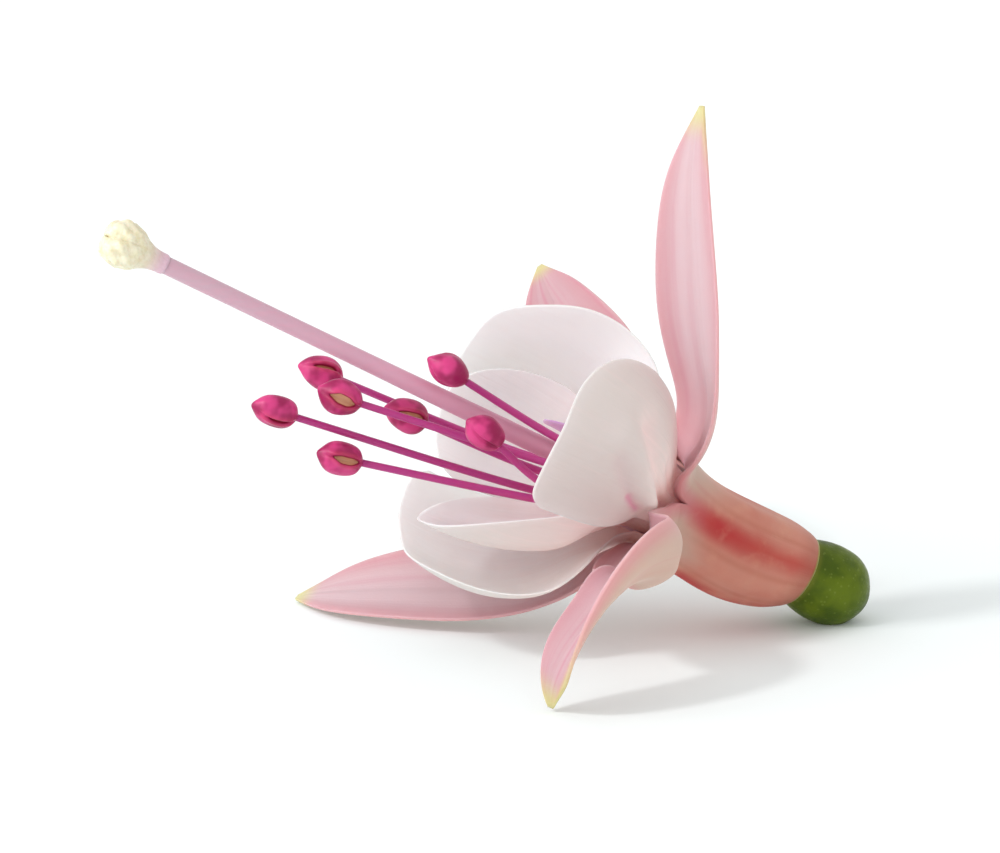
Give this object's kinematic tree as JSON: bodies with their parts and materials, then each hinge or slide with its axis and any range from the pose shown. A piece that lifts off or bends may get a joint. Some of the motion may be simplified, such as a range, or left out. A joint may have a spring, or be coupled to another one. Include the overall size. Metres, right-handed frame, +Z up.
{
  "type": "fuchsia flower",
  "caption": "Cut fuchsia bloom lying on a surface: green ovary, short pink tube, spread pink sepals, white cupped corolla, magenta stamens and a long pink style.",
  "frame": {"origin": "middle of the bloom's bounding box at the surface that it lies on", "axes": "+Z up from the surface; the bloom's own axis points towards -X and rises 28.4 degrees, with its stalk end at +X; -Y is the side with the near petal"},
  "size_m": [0.0774, 0.066, 0.054],
  "materials": {
    "ovary_green": "satin",
    "calyx_pink": "satin",
    "petal_white": "matte",
    "petal_violet": "matte",
    "stamen_magenta": "satin",
    "style_pink": "satin",
    "stigma_cream": "matte"
  },
  "bodies": {
    "root": {"ovary": "ovary_green", "calyx": "calyx_pink", "petal_top": "petal_white", "petal_far": "petal_white", "petal_near": "petal_white", "petal_bottom": "petal_white", "petal_inner": "petal_white", "petal_small": "petal_violet", "stamen_1": "stamen_magenta", "stamen_2": "stamen_magenta", "stamen_3": "stamen_magenta", "stamen_4": "stamen_magenta", "stamen_5": "stamen_magenta", "stamen_6": "stamen_magenta", "stamen_7": "stamen_magenta", "stamen_8": "stamen_magenta", "style": "style_pink", "stigma": "stigma_cream"}
  },
  "joints": []
}
